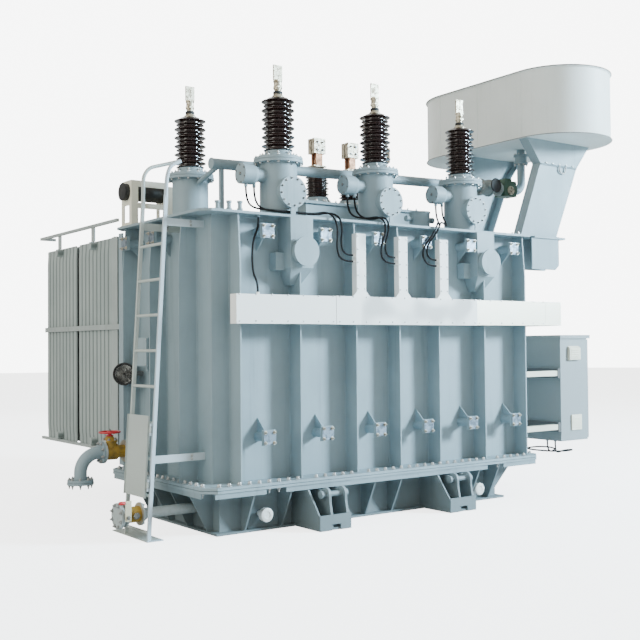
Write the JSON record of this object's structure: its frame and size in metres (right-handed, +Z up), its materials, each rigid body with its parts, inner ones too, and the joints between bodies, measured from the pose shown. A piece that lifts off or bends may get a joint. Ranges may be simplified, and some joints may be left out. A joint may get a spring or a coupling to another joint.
{
  "type": "power transformer",
  "caption": "Oil-filled power transformer: ribbed bell tank on a flanged base, porcelain bushings, raised oval conservator, radiators, control cabinet and leaning ladder.",
  "frame": {"origin": "centre of the base plate's underside, on the ground", "axes": "+X along the bushing side towards the conservator, +Y to the radiators, +Z up"},
  "size_m": [5.7819, 4.353, 4.545],
  "materials": {
    "cable": "matt black sheath",
    "conservator_paint": "satin pale grey enamel",
    "dark_steel": "satin black",
    "galvanised": "dull zinc",
    "gasket": "matt black",
    "porcelain": "very dark brown glaze",
    "radiator_paint": "satin grey-green enamel",
    "red_paint": "gloss red enamel",
    "relay_paint": "green enamel",
    "stainless": "brushed sheet",
    "tank_paint": "satin light blue-grey enamel",
    "terminal_metal": "machined",
    "trim_paint": "satin cream enamel",
    "valve_grey": "satin light grey enamel",
    "valve_ochre": "ochre enamel",
    "white_plastic": "satin white"
  },
  "bodies": {
    "transformer": {"base_gussets": "tank_paint", "base_plate": "tank_paint", "bell_wall": "tank_paint", "bushing_terminals": "terminal_metal", "cabinet_arms": "trim_paint", "cabinet_body": "tank_paint", "cabinet_channels": "dark_steel", "cabinet_loop": "cable", "cabinet_trim": "trim_paint", "cable_1a": "cable", "cable_1b": "cable", "cable_2a": "cable", "cable_2b": "cable", "cable_3a": "cable", "cable_3b": "cable", "cable_tray": "stainless", "cable_tray_end": "cable", "conservator_ends": "conservator_paint", "conservator_legs": "tank_paint", "conservator_shelf": "tank_paint", "conservator_shell": "conservator_paint", "cover": "tank_paint", "cover_pockets": "terminal_metal", "cradle_tube": "dark_steel", "dial_thermometer": "dark_steel", "drain_elbow": "valve_grey", "drain_plugs": "white_plastic", "drain_valve": "valve_ochre", "end_ribs": "tank_paint", "fixing_stubs": "tank_paint", "flange_gasket": "gasket", "gas_pipe": "tank_paint", "gas_relay": "relay_paint", "hv_bushings": "porcelain", "jacking_boxes": "tank_paint", "ladder": "galvanised", "lifting_trunnions": "tank_paint", "lower_flange": "tank_paint", "lower_tank_wall": "tank_paint", "lower_valve": "valve_ochre", "lv_bushings": "porcelain", "lv_turret": "tank_paint", "radiator_frame": "radiator_paint", "radiator_mains": "radiator_paint", "radiator_row_1": "radiator_paint", "radiator_row_2": "radiator_paint", "rear_cradle": "trim_paint", "relay_pipe": "conservator_paint", "relay_valve": "dark_steel", "relief_pot": "tank_paint", "side_ribs": "tank_paint", "terminal_box": "tank_paint", "tray_risers": "stainless", "turrets": "tank_paint", "upper_flange": "tank_paint"},
    "cabinet_door": {"cabinet_door": "tank_paint"},
    "handwheel": {"handwheel": "red_paint"},
    "valve_lever": {"valve_lever": "trim_paint"},
    "ladder_gate": {"ladder_gate": "galvanised"}
  },
  "joints": [
    {"name": "cabinet_door_hinge", "type": "hinge", "parent": "transformer", "child": "cabinet_door", "pos_m": [3.155, 0.012, 1.1], "axis": [0, 0, 1], "range_deg": [0, 120]},
    {"name": "handwheel_spin", "type": "hinge", "parent": "transformer", "child": "handwheel", "pos_m": [-2.15, 0.45, 0.825], "axis": [0, 0, 1], "range_deg": [0, 3600]},
    {"name": "valve_lever_turn", "type": "hinge", "parent": "transformer", "child": "valve_lever", "pos_m": [-2.424, -0.526, 0.204], "axis": [0, -1, 0], "range_deg": [0, 90]},
    {"name": "ladder_gate_hinge", "type": "hinge", "parent": "transformer", "child": "ladder_gate", "pos_m": [-2.26054, -0.585, 0.691], "axis": [0.0599, 0, 0.9982], "range_deg": [0, 110]}
  ]
}
